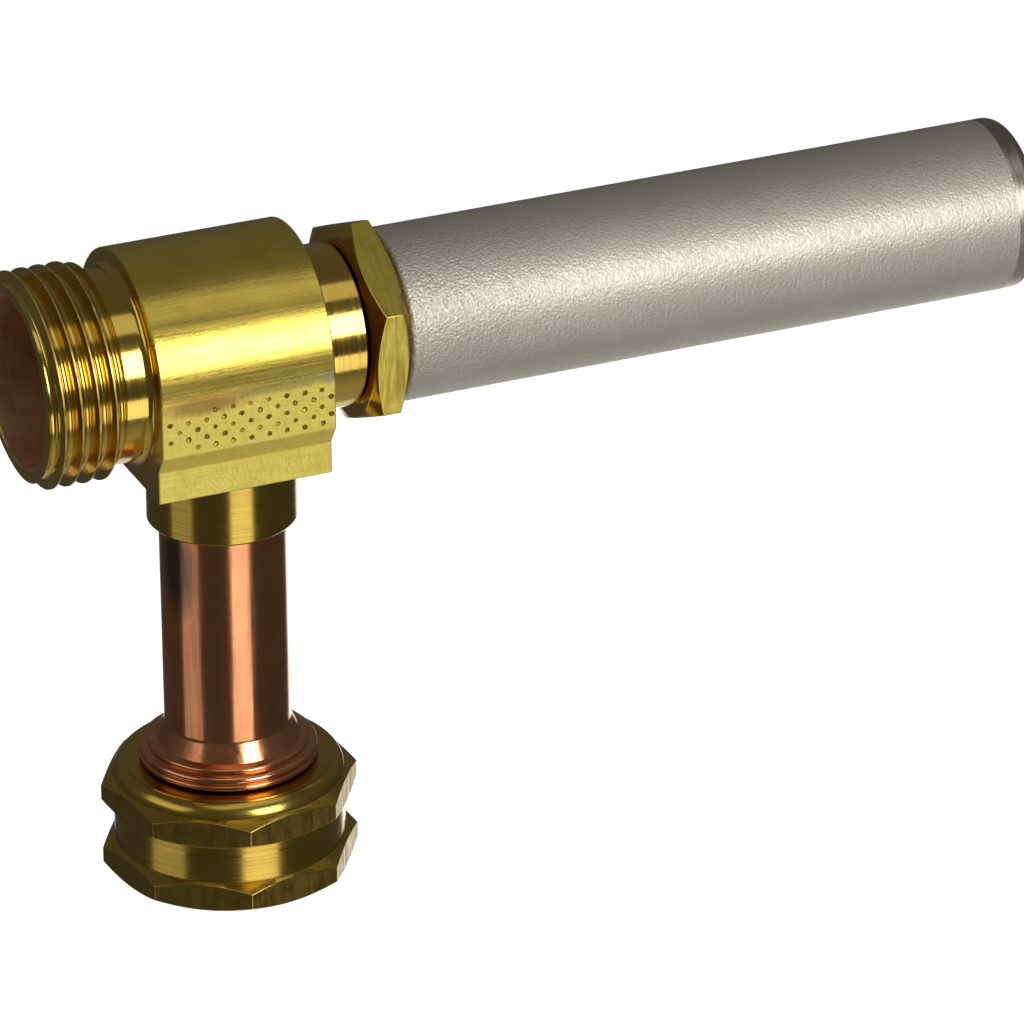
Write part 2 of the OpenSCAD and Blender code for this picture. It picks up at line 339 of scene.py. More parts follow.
@dataclass(frozen=True)
class HelixGroove:
    """A thread groove as a swept solid that is cut from a turned piece."""

    axis: Axis
    pitch: float
    start: float
    turns: int
    section: tuple[Point, ...]
    steps_per_turn: int = 72

    def build(self) -> Object:
        """Sweeps the section along its helix.

        Returns:
            The cutter.
        """
        bm = bmesh.new()
        geom = chain(bm, [self.axis.place(self.start + a, r) for a, r in self.section])
        steps = self.turns * self.steps_per_turn
        step = self.axis.direction * (self.pitch * MM / self.steps_per_turn)
        bmesh.ops.spin(bm, geom=geom, cent=self.axis.centre, axis=self.axis.direction, dvec=step,
                       angle=math.tau * self.turns, steps=steps)
        bmesh.ops.holes_fill(bm, edges=[e for e in bm.edges if e.is_boundary], sides=0)
        bmesh.ops.triangulate(bm, faces=[f for f in bm.faces if len(f.verts) > 4])
        return as_object(bm, "groove_cutter")


@dataclass(frozen=True)
class Stain:
    """A discoloured patch: an ellipsoid about a point, with a ragged edge."""

    centre: Triple
    reach: Triple
    colour: str
    strength: float


@dataclass(frozen=True)
class WorkedMetal:
    """A bare metal with the grain of how it was made.

    The grain is a stretched noise: its three sizes are the length of a mark along X, Y and Z.
    """

    name: str
    colour: str
    deep: str
    roughness: tuple[float, float]
    grain: Triple
    grain_depth: float
    mottle: float = 4.0
    mottle_share: float = 0.5
    grain_tint: float = 0.35
    peel: float = 0.0
    peel_depth: float = 0.0
    peel_fade: tuple[float, float] | None = None
    metal: float = 1.0
    stains: tuple[Stain, ...] = ()

    def material(self) -> Material:
        """Builds the node tree.

        Returns:
            The material.
        """
        made = bpy.data.materials.new(self.name)
        tree = empty_tree(made)
        place = add_node(tree, "ShaderNodeTexCoord").outputs["Object"]
        stretched = add_node(tree, "ShaderNodeMapping",
                             {"Vector": place, "Scale": [1 / (size * MM) for size in self.grain]})
        lines = add_node(tree, "ShaderNodeTexNoise",
                         {"Vector": stretched, "Scale": 1.0, "Detail": 3.0, "Roughness": 0.6})
        clouds = add_node(tree, "ShaderNodeTexNoise",
                          {"Vector": place, "Scale": 1 / (self.mottle * MM), "Detail": 4.0, "Roughness": 0.6})
        spread = add_node(tree, "ShaderNodeMapRange",
                          {"Value": clouds, "From Min": 0.35, "From Max": 0.7, "To Max": self.mottle_share})
        streak = add_node(tree, "ShaderNodeMapRange",
                          {"Value": lines, "From Min": NOISE_LOW, "From Max": NOISE_HIGH,
                           "To Max": self.grain_tint})
        both = add_node(tree, "ShaderNodeMath", {0: spread, 1: streak}, operation="ADD", use_clamp=True)
        tone = add_node(tree, "ShaderNodeMix",
                        {0: both, MIX_FIRST: linear(self.colour), MIX_SECOND: linear(self.deep)},
                        data_type="RGBA")
        colour = tone.outputs[MIX_RESULT]
        for stain in self.stains:
            colour = self._stained(tree, place, clouds, colour, stain)
        rough = add_node(tree, "ShaderNodeMapRange",
                         {"Value": lines, "From Min": NOISE_LOW, "From Max": NOISE_HIGH,
                          "To Min": self.roughness[0], "To Max": self.roughness[1]})
        bump = add_node(tree, "ShaderNodeBump",
                        {"Height": lines, "Strength": 1.0, "Distance": self.grain_depth * MM})
        if self.peel:
            skin = add_node(tree, "ShaderNodeTexNoise",
                            {"Vector": place, "Scale": 1 / (self.peel * MM), "Detail": 2.0})
            if self.peel_fade:
                along = add_node(tree, "ShaderNodeSeparateXYZ", {"Vector": place})
                share = add_node(tree, "ShaderNodeMapRange",
                                 {"Value": along.outputs["X"], "From Min": self.peel_fade[0] * MM,
                                  "From Max": self.peel_fade[1] * MM, "To Min": 1.0, "To Max": 0.4})
                skin = add_node(tree, "ShaderNodeMath", {0: skin, 1: share}, operation="MULTIPLY")
            bump = add_node(tree, "ShaderNodeBump",
                            {"Height": skin, "Strength": 1.0, "Distance": self.peel_depth * MM,
                             "Normal": bump})
        metal = add_node(tree, "ShaderNodeBsdfPrincipled",
                         {"Base Color": colour, "Metallic": self.metal, "Roughness": rough, "Normal": bump})
        add_node(tree, "ShaderNodeOutputMaterial", {"Surface": metal})
        return made

    @staticmethod
    def _stained(tree: Tree, place: Socket, ragged: Node, colour: Socket, stain: Stain) -> Socket:
        """Lays a stain over a colour.

        Args:
            tree: Tree of the material.
            place: Object coordinates.
            ragged: Noise that makes the edge uneven.
            colour: Colour under the stain.
            stain: The patch.

        Returns:
            The colour with the stain.
        """
        moved = add_node(tree, "ShaderNodeMapping",
                         {"Vector": place, "Location": [c * MM for c in stain.centre],
                          "Scale": [r * MM for r in stain.reach]}, vector_type="TEXTURE")
        far = add_node(tree, "ShaderNodeVectorMath", {0: moved}, operation="LENGTH")
        edge = add_node(tree, "ShaderNodeMath", {0: far.outputs["Value"], 1: ragged}, operation="ADD")
        share = add_node(tree, "ShaderNodeMapRange",
                         {"Value": edge, "From Min": 1.0, "From Max": 1.6,
                          "To Min": stain.strength, "To Max": 0.0})
        mixed = add_node(tree, "ShaderNodeMix",
                         {0: share, MIX_FIRST: colour, MIX_SECOND: linear(stain.colour)}, data_type="RGBA")
        return mixed.outputs[MIX_RESULT]


@dataclass(frozen=True)
class Moulded:
    """Rubber or plastic from a mould, with a fine matt skin."""

    name: str
    colour: str
    roughness: float
    ior: float
    skin: float = 0.4
    skin_depth: float = 0.01
    # Share of the colour kept where the skin's bump noise is high: painted shade tied to the skin's relief
    hollow_shade: float = 0.8

    def material(self) -> Material:
        """Builds the node tree.

        Returns:
            The material.
        """
        made = bpy.data.materials.new(self.name)
        tree = empty_tree(made)
        place = add_node(tree, "ShaderNodeTexCoord").outputs["Object"]
        skin = add_node(tree, "ShaderNodeTexNoise",
                        {"Vector": place, "Scale": 1 / (self.skin * MM), "Detail": 3.0})
        shadow = add_node(tree, "ShaderNodeMix",
                          {0: skin, MIX_FIRST: linear(self.colour),
                           MIX_SECOND: tuple(self.hollow_shade * c for c in linear(self.colour)[:3]) + (1.0,)},
                          data_type="RGBA")
        bump = add_node(tree, "ShaderNodeBump",
                        {"Height": skin, "Strength": 1.0, "Distance": self.skin_depth * MM})
        body = add_node(tree, "ShaderNodeBsdfPrincipled",
                        {"Base Color": shadow.outputs[MIX_RESULT], "Roughness": self.roughness,
                         "IOR": self.ior, "Normal": bump})
        add_node(tree, "ShaderNodeOutputMaterial", {"Surface": body})
        return made


def dress_faces(piece: Object, finishes: list[WorkedMetal],
                pick: Callable[[Face], int]) -> None:
    """Gives each face of a piece one of its finishes and shades the piece.

    Args:
        piece: The piece.
        finishes: Its finishes, in the order of its material slots.
        pick: Gives the number of a face's finish.
    """
    mesh = piece.data
    mesh.materials.clear()
    for finish in finishes:
        mesh.materials.append(finish.material())
    for face in mesh.polygons:
        face.material_index = pick(face)
    shade(piece)


# Oxide and flux along the upper edge of the gripped side
GRIP_STAINS = (Stain((-7.2, -14.3, RUN_Z - 0.6), (6.5, 4.0, 1.5), "#a4713c", 0.75),
               Stain((3.2, -14.3, RUN_Z + 0.1), (7.5, 4.0, 1.0), "#8f7a4c", 0.6),
               Stain((9.1, -14.3, RUN_Z + 0.1), (1.5, 4.0, 1.1), "#8c9084", 0.6))
# Extruded brass bar: drawn lines along the run, dull where the die dragged, oxide along the gripped sides
BAR_BRASS = WorkedMetal(
    "extruded_brass_bar", "#dec65b", "#bda346", (0.2, 0.34), (14.0, 0.35, 0.35), 0.012, mottle=5.0,
    mottle_share=0.45, peel=0.45, peel_depth=0.012, stains=GRIP_STAINS, metal=0.88)
# Flat sides and foot of the bar: drawn, then scuffed by the jaws, so less of a mirror; their brighter colour
# is painted light on that side
LIT_GRIPPED_BRASS = WorkedMetal(
    "gripped_brass_side_painted_light", "#ffee78", "#f0d65e", (0.34, 0.48), (5.0, 0.3, 0.3), 0.02, mottle=1.1,
    mottle_share=0.6, peel=0.42, peel_depth=0.05, stains=GRIP_STAINS, metal=0.6)
# Pits pressed by the jaws: dull, darkened with painted shade in the recesses
SHADED_PIT_BRASS = WorkedMetal(
    "pressed_brass_pit_painted_shade", "#b59a43", "#86702c", (0.42, 0.58), (0.4, 0.4, 0.4), 0.01, mottle=0.6)
# Thread crests and the bore's edge: rubbed bright and matt
WORN_BRASS = WorkedMetal(
    "worn_brass_crest", "#e6cc74", "#8f7432", (0.3, 0.45), (0.3, 3.0, 3.0), 0.004, mottle=1.2,
    mottle_share=0.8, metal=0.68)
# Rolled thread: smooth, with soft highlights in its roots
THREAD_BRASS = WorkedMetal(
    "rolled_brass_thread", "#e6c96a", "#c8a956", (0.12, 0.19), (6.0, 6.0, 6.0), 0.0004, mottle=3.0)
# Turned brass on the run: feed marks round the axis, drawn coarser than life so that they show,
# and near a mirror between them
RUN_BRASS = WorkedMetal(
    "turned_brass_run", "#dfbf5e", "#c6a24b", (0.07, 0.2), (0.16, 40.0, 40.0), 0.004, mottle=6.0,
    mottle_share=0.35, grain_tint=0.25)
# Turned brass on the branch: the same marks, level, and drawn as coarse
BRANCH_BRASS = WorkedMetal(
    "turned_brass_branch", "#cdad50", "#a5883c", (0.12, 0.26), (40.0, 40.0, 0.2), 0.005, mottle=6.0,
    mottle_share=0.35, grain_tint=0.25)
# Bored brass left rough and reddened inside the outlet
BORE_BRASS = WorkedMetal(
    "bored_brass", "#ecbb8e", "#b98557", (0.45, 0.6), (0.3, 14.0, 14.0), 0.012, mottle=5.0, mottle_share=0.6,
    metal=0.58)
# Drawn hexagon bar with faint cross marks
HEX_BRASS = WorkedMetal(
    "drawn_brass_hexagon", "#c6b252", "#9d893c", (0.16, 0.32), (0.5, 5.0, 5.0), 0.012, mottle=3.0)
# Drawn octagon bar, duller and greener than the turned faces
FLAT_BRASS = WorkedMetal(
    "drawn_brass_octagon", "#cdac54", "#998038", (0.2, 0.36), (0.8, 0.8, 5.0), 0.015, mottle=2.2,
    mottle_share=0.6)
# Satin stainless tube: peened skin, strongest near the lip, with short marks round the tube
SATIN_STEEL = WorkedMetal(
    "satin_stainless_tube", "#dad7ca", "#c0bdb0", (0.44, 0.56), (0.3, 0.7, 0.7), 0.02, mottle=6.0,
    mottle_share=0.3, peel=0.36, peel_depth=0.17, peel_fade=(22.0, 50.0), metal=0.78)
# Turned end of the stainless tube: feed marks round its corner
TURNED_STEEL = WorkedMetal(
    "turned_stainless_end", "#c4beb0", "#9d978a", (0.25, 0.42), (0.35, 30.0, 30.0), 0.02, mottle=6.0,
    mottle_share=0.3)
# Drawn copper tube: long faint lines, heat tint and a grey flux mark under the boss
COPPER = WorkedMetal(
    "drawn_copper_tube", "#e9a273", "#cd835a", (0.12, 0.24), (0.5, 0.5, 14.0), 0.006, mottle=5.0,
    mottle_share=0.55, stains=(Stain((-7.2, -2.6, 42.5), (2.6, 3.4, 7.5), "#5f5d52", 0.85),))
# Moulded nitrile rings: black and half matt
NITRILE = Moulded("moulded_nitrile", "#1d1d1e", 0.5, 1.52)
# Turned acetal: off-white, smooth and waxy
ACETAL = Moulded("turned_acetal", "#e8e6dc", 0.35, 1.48)
# Moulded washer rubber: dark grey and matt
WASHER_RUBBER = Moulded("moulded_washer_rubber", "#2a2927", 0.6, 1.52)


class TeeZone(Enum):
    """Worked zones of the tee and their finishes, in the order of its material slots."""

    BAR = BAR_BRASS
    RUN = RUN_BRASS
    BRANCH = BRANCH_BRASS
    BORE = BORE_BRASS
    GRIPPED = LIT_GRIPPED_BRASS
    PIT = SHADED_PIT_BRASS
    WORN = WORN_BRASS
    THREAD = THREAD_BRASS


@dataclass
class ThreadedTee:
    """Brass tee: extruded bar with gripped sides, threaded outlet, boss and neck."""

    body_d: float = 28.7
    body_start: float = -12.9
    body_end: float = 9.75
    side_drop: float = 7.0
    foot_step: float = 1.65
    foot_slope: float = 2.5
    foot_strip: float = 4.2
    boss_d: float = 18.8
    boss_bottom: float = 47.05
    boss_chamfer: float = 0.3
    thread_r: float = 13.6
    root_r: float = 12.0
    root_round: float = 0.6
    groove_w: float = 2.0
    rim_r: float = 12.1
    face_r: float = 11.85
    rim_x: float = -26.5
    lead: float = 0.8
    relief_x: float = -16.4
    fillet: float = 1.1
    bore_r: float = 10.7
    bore_depth: float = 17.0
    mouth: float = 0.2
    run_bore_r: float = 7.5
    branch_bore_r: float = 6.9
    socket_r: float = 8.01
    socket_top: float = 56.05
    neck_r: float = 10.3
    neck_x: float = 15.95
    neck_chamfer: float = 0.4
    joint_r: float = 8.63
    joint_x: float = 7.47
    edge: float = 0.22
    pitch: float = 2.209
    groove_start: float = -29.28
    pit_column: float = 2.323
    pit_row: float = 1.137
    pit_top: float = 1.46
    pit_r: float = 0.5
    pit_depth: float = 0.26
    pit_first: float = -11.8
    pit_drift: Point = (0.06, 0.05)
    pit_spread: Point = (0.75, 1.15)
    # Row, first and last half column
    pit_rows: tuple[tuple[int, int, int], ...] = (
        (0, 5, 17), (1, 0, 18), (2, 1, 17), (3, 0, 18), (4, 3, 17))
    seed: int = 7
    groove_turns: int = 6
    groove_top: float = 0.02
    groove_out: float = 0.7
    root_arc: Point = (-148, -32)
    edge_angle: float = 20.0
    # How far added parts reach into the bar, then the distances that tell the zones apart
    sunk: float = 2.0
    near: float = 0.01
    margin: float = 0.1
    end_margin: float = 0.3
    dent: float = 0.02

    @property
    def foot_z(self) -> float:
        """Height of the foot's lower face."""
        return RUN_Z - self.side_drop - self.foot_slope - self.foot_strip

    def bar(self) -> Object:
        """Extrudes the bar and breaks its edges.

        Returns:
            The bar.
        """
        side, foot = self.body_d / 2, self.body_d / 2 - self.foot_step
        low = RUN_Z - self.side_drop
        bm = bmesh.new()
        first = bm.verts.new(Vector((self.body_start, side, RUN_Z)) * MM)
        bmesh.ops.spin(bm, geom=[first], cent=Axis.RUN.centre, axis=Axis.RUN.direction, angle=math.pi,
                       steps=SEGMENTS // 2)
        bm.verts.ensure_lookup_table()
        last = max(bm.verts, key=lambda v: (v.co - first.co).length)
        corners = [(-side, low), (-foot, low - self.foot_slope), (-foot, self.foot_z), (foot, self.foot_z),
                   (foot, low - self.foot_slope), (side, low)]
        line = [last, *[bm.verts.new(Vector((self.body_start, y, z)) * MM) for y, z in corners], first]
        for a, b in zip(line, line[1:]):
            bm.edges.new((a, b))
        face = bmesh.ops.contextual_create(bm, geom=bm.edges[:])["faces"][0]
        extrude(bm, [face], Vector((self.body_end - self.body_start, 0, 0)))
        bmesh.ops.recalc_face_normals(bm, faces=bm.faces)
        outer = [e for e in bm.edges if e.calc_face_angle_signed(0.0) > math.radians(self.edge_angle)]
        bmesh.ops.bevel(bm, geom=outer, offset=self.edge * MM, offset_type="OFFSET", affect="EDGES",
                        segments=3, profile=0.5, material=-1, clamp_overlap=True)
        return as_object(bm, "threaded_tee")

    def turned_parts(self) -> list[Object]:
        """Turns what stands out of the bar: outlet end up to its fillet, boss and neck.

        Returns:
            The parts to add.
        """
        fillet_r, boss_r = self.rim_r + self.fillet, self.boss_d / 2
        outlet = [(self.rim_x, self.face_r), (self.rim_x + self.lead, self.thread_r),
                  (self.relief_x - self.lead, self.thread_r), (self.relief_x, self.rim_r),
                  *arc(self.body_start - self.fillet, fillet_r, self.fillet, -90, 0),
                  (self.body_start + self.sunk, fillet_r)]
        boss = [(self.boss_bottom, boss_r - self.boss_chamfer),
                (self.boss_bottom + self.boss_chamfer, boss_r), (self.foot_z + self.sunk, boss_r)]
        neck = [(self.body_end - self.sunk, self.neck_r), (self.neck_x - self.neck_chamfer, self.neck_r),
                (self.neck_x, self.neck_r - self.neck_chamfer)]
        return [turned("outlet", outlet, Axis.RUN), turned("boss", boss, Axis.BRANCH),
                turned("neck", neck, Axis.RUN)]

    def waterways(self) -> list[Object]:
        """Turns the waterways along run and branch, with the tube's socket.

        Returns:
            The cutters.
        """
        end = self.rim_x + self.bore_depth
        run = [(self.rim_x - REACH, self.bore_r + self.mouth + REACH), (self.rim_x + self.mouth, self.bore_r),
               (end, self.bore_r), (end, self.run_bore_r), (self.joint_x, self.run_bore_r),
               (self.joint_x, self.joint_r), (self.neck_x + REACH, self.joint_r)]
        branch = [(self.boss_bottom - REACH, self.socket_r), (self.socket_top, self.socket_r),
                  (self.socket_top, self.branch_bore_r), (RUN_Z, self.branch_bore_r)]
        return [turned("run_cutter", run, Axis.RUN), turned("branch_cutter", branch, Axis.BRANCH)]

    def groove(self) -> Object:
        """Sweeps the groove of the outlet thread: straight flanks and a round root.

        Returns:
            The cutter.
        """
        half, top, out = self.groove_w / 2, self.thread_r + self.groove_top, self.thread_r + self.groove_out
        root = arc(0.0, self.root_r + self.root_round, self.root_round, *self.root_arc)
        section = ((-half - self.near, out), (-half, top), *root, (half, top), (half + self.near, out))
        return HelixGroove(Axis.RUN, self.pitch, self.groove_start, self.groove_turns, section).build()

    def pits(self) -> Object:
        """Sets the pits of the gripping jaws into both flat sides.

        Returns:
            The cutter.
        """
        rng = random.Random(self.seed)
        drift_x, drift_z = self.pit_drift
        bm = bmesh.new()
        for side in (-1, 1):
            for row, first, last in self.pit_rows:
                for step in range(first, last + 1):
                    if (step + row) % 2 == 0:
                        continue
                    x = self.pit_first + step * self.pit_column / 2 + rng.uniform(-drift_x, drift_x)
                    z = RUN_Z - self.pit_top - row * self.pit_row + rng.uniform(-drift_z, drift_z)
                    deep = self.pit_depth * rng.uniform(*self.pit_spread)
                    y = side * (self.body_d / 2 + self.pit_r - deep)
                    spun = Matrix.Rotation(rng.uniform(0, math.tau), 4, "Y")
                    bmesh.ops.create_icosphere(bm, subdivisions=1, radius=self.pit_r * MM,
                                               matrix=Matrix.Translation(Vector((x, y, z)) * MM) @ spun)
        return as_object(bm, "pit_cutter")

    def build(self) -> Object:
        """Puts the tee together.

        Returns:
            The tee, undressed.
        """
        tee = self.bar()
        for part in self.turned_parts():
            combine(tee, part, Join.ADD)
        for cutter in (*self.waterways(), self.groove(), self.pits()):
            combine(tee, cutter, Join.CUT)
        return tee

    def _worn(self, x: float, from_run: float) -> bool:
        """Whether a place lies on a thread crest or on the broken edge of the bore's mouth."""
        mouth = x < self.rim_x + self.mouth and self.bore_r < from_run < self.bore_r + self.mouth
        return mouth or (x < self.relief_x and from_run > self.thread_r - self.margin)

    def _zone(self, face: Face) -> TeeZone:
        """Finds which worked zone a face belongs to.

        Args:
            face: A face of the finished tee.

        Returns:
            The zone.
        """
        near, margin = self.near, self.margin
        c = face.center / MM
        from_run = math.hypot(c.y, c.z - RUN_Z)
        across = abs(face.normal.x) > ACROSS
        on_bar = self.body_start + near < c.x < self.body_end - near and c.z > self.foot_z + near
        waterway = self.joint_r + margin if c.x > self.body_end - near else self.bore_r + self.mouth
        if self._worn(c.x, from_run) and not across:
            return TeeZone.WORN
        if self.rim_x + near < c.x < self.relief_x and from_run > self.face_r - margin:
            return TeeZone.THREAD
        if across and min(abs(c.x - self.body_start), abs(c.x - self.body_end)) < near:
            return TeeZone.RUN
        if from_run < waterway and c.x < self.neck_x - margin and c.z > self.foot_z:
            return TeeZone.BORE
        if on_bar and c.z < RUN_Z - near and not across:
            pressed = c.z > RUN_Z - self.side_drop + margin and abs(c.y) < self.body_d / 2 - self.dent
            off_ends = self.body_start + self.end_margin < c.x < self.body_end - self.end_margin
            return TeeZone.PIT if pressed and off_ends else TeeZone.GRIPPED
        if on_bar:
            return TeeZone.BAR
        return TeeZone.BRANCH if c.z < self.foot_z + near else TeeZone.RUN

    def dress(self, tee: Object) -> None:
        """Gives each worked zone its finish.

        Args:
            tee: The tee.
        """
        zones = list(TeeZone)
        dress_faces(tee, [zone.value for zone in zones], lambda face: zones.index(self._zone(face)))
        hand_over(tee, "tee_body", "tee")


@dataclass
class HexAdapter:
    """Brass adapter: hexagon between the neck and the rolled lip, with its hidden thread and plug."""

    across_flats: float = 24.0
    hex_x: float = 16.1
    hex_end: float = 20.65
    face_r: float = 11.55
    chamfer_angle: float = 26.0
    turn: float = 6.0
    joint_x: float = 7.55
    joint_r: float = 8.55
    groove_r: float = 9.15
    plug_x: float = 22.4
    plug_end: float = 31.4
    plug_r: float = 9.9
    seal_from: float = 26.6
    seal_to: float = 28.8
    seal_r: float = 8.3
    bore_r: float = 5.5
    edge: float = 0.1

    def build(self) -> Object:
        """Cuts the hexagon and joins the turned parts to it.

        Returns:
            The adapter, undressed.
        """
        corner = self.across_flats / math.sqrt(3)
        slope = math.tan(math.radians(self.chamfer_angle))
        out, face_out = corner + REACH, self.face_r - REACH / slope
        rise = slope * (out - self.face_r)
        step = self.hex_x + REACH
        stand = (Matrix.Translation(Vector((self.hex_x, 0, RUN_Z)) * MM)
                 @ Matrix.Rotation(math.pi / 2, 4, "Y")
                 @ Matrix.Rotation(math.radians(30 + self.turn), 4, "Z"))
        chamfers = [(self.hex_x - REACH, face_out), (self.hex_x + rise, out), (self.hex_end - rise, out),
                    (self.hex_end + REACH, face_out)]
        stem = [(self.joint_x, self.joint_r), (step, self.joint_r), (step, self.groove_r),
                (self.plug_x, self.groove_r), (self.plug_x, self.plug_r), (self.seal_from, self.plug_r),
                (self.seal_from, self.seal_r), (self.seal_to, self.seal_r), (self.seal_to, self.plug_r),
                (self.plug_end, self.plug_r)]
        bore = [(self.joint_x - REACH, self.bore_r), (self.plug_end + REACH, self.bore_r)]
        adapter = prism("hex_adapter_turned", corner, 6, stand, Vector((self.hex_end - self.hex_x, 0, 0)))
        combine(adapter, turned("chamfers", chamfers, Axis.RUN), Join.KEEP_SHARED)
        ease_edges(adapter, self.edge)
        combine(adapter, turned("stem", stem, Axis.RUN), Join.ADD)
        combine(adapter, turned("bore", bore, Axis.RUN), Join.CUT)
        return adapter

    def _finish(self, face: Face) -> int:
        """Number of a face's finish: 1 on the hexagon's flats, 0 elsewhere."""
        c = face.center / MM
        return int(abs(face.normal.x) < ALONG and math.hypot(c.y, c.z - RUN_Z) > self.face_r)

    def dress(self, adapter: Object) -> None:
        """Gives the flats the drawn finish and the rest the turned one."""
        dress_faces(adapter, [RUN_BRASS, HEX_BRASS], self._finish)
        hand_over(adapter, "hex_adapter", "tee")


@dataclass
class SteelChamber:
    """Stainless air chamber: drawn tube with a turned end and a rolled, slightly torn lip."""

    start: float = 21.3
    length: float = 86.5
    outer_r: float = 10.95
    inner_r: float = 10.05
    end_r: float = 1.5
    end_t: float = 1.2
    lip_r: float = 9.25
    lip_t: float = 1.0
    lip_edge: float = 0.6
    lip_land: float = 0.5
    torn: float = 0.09
    torn_size: float = 0.9
    torn_from: float = 0.2
    # Not 0, which would take the clock
    torn_seed: int = 7
    turned_length: float = 3.25

    def build(self) -> Object:
        """Turns the shell and roughens its lip.

        Returns:
            The chamber, undressed.
        """
        end, lip_end = self.start + self.length, self.start + self.lip_edge
        stations = [lip_end + self.lip_land, self.start + self.length / 2, end - self.turned_length]
        outline = [(self.start, self.lip_r),
                   *arc(lip_end, self.outer_r - self.lip_edge, self.lip_edge, 180, 90),
                   *[(x, self.outer_r) for x in stations],
                   *arc(end - self.end_r, self.outer_r - self.end_r, self.end_r, 90, 0, steps=12), (end, 0),
                   (end - self.end_t, 0), (end - self.end_t, self.inner_r),
                   (self.start + self.lip_t, self.inner_r), (self.start + self.lip_t, self.lip_r)]
        chamber = turned("steel_chamber", outline, Axis.RUN, hollow=True)
        bm = bmesh.new()
        bm.from_mesh(chamber.data)
        noise.seed_set(self.torn_seed)
        for v in bm.verts:
            from_run = math.hypot(v.co.y, v.co.z - RUN_Z * MM) / MM
            if v.co.x / MM < lip_end and from_run > self.lip_r + self.torn_from:
                v.co += noise.noise_vector(v.co / (self.torn_size * MM)) * self.torn * MM
        bm.to_mesh(chamber.data)
        bm.free()
        return chamber

    def _finish(self, face: Face) -> int:
        """Number of a face's finish: 1 on the turned end, 0 elsewhere."""
        return int(face.center.x > (self.start + self.length - self.turned_length) * MM)

    def dress(self, chamber: Object) -> None:
        """Gives the tube its satin skin and the far end its turned one."""
        dress_faces(chamber, [SATIN_STEEL, TURNED_STEEL], self._finish)
        hand_over(chamber, "air_chamber", "tee")


@dataclass
class CopperTail:
    """Copper tail tube with its flare, two rolled beads, collar and flange."""

    outer_r: float = 7.95
    wall: float = 1.0
    top: float = 56.05
    station: float = 35.0
    crease: float = 18.95
    # Soft start of the flare: steps along the branch and outwards from the crease
    crease_bend: tuple[Point, ...] = ((0.35, 0.0), (0.1, 0.05), (-0.1, 0.14))
    bead_top: float = 17.15
    bead_bottom: float = 13.95
    cone_foot: Point = (16.75, 9.1)
    # Beads: centre along the branch, centre's radius, radius, first and last angle
    ridge: tuple[float, ...] = (16.1, 9.75, 0.45, 25, 115)
    roll: tuple[float, ...] = (15.25, 10.62, 0.62, 20, 140)
    lip: tuple[float, ...] = (14.38, 10.87, 0.43, 25, 180)
    collar_r: float = 9.5
    flange_top: float = 10.45
    flange_bottom: float = 9.05
    flange_r: float = 11.9

    def build(self) -> Object:
        """Turns the tube from its outer and inner outlines.

        Returns:
            The tube, undressed.
        """
        inner_r, inner_collar = self.outer_r - self.wall, self.collar_r - self.wall
        outline = [(self.top, self.outer_r), (self.station, self.outer_r),
                   *[(self.crease + a, self.outer_r + r) for a, r in self.crease_bend],
                   self.cone_foot, *arc(*self.ridge), *arc(*self.roll), *arc(*self.lip),
                   (self.bead_bottom, self.collar_r), (self.flange_top, self.collar_r),
                   (self.flange_top, self.flange_r), (self.flange_bottom, self.flange_r),
                   (self.flange_bottom, inner_collar), (self.bead_top - self.wall, inner_collar),
                   (self.crease - self.wall, inner_r), (self.top, inner_r)]
        return turned("copper_tail", outline, Axis.BRANCH, hollow=True)

    def dress(self, tail: Object) -> None:
        """Gives the tube its drawn copper."""
        dress_faces(tail, [COPPER], lambda face: 0)
        hand_over(tail, "tail_tube", "tee")


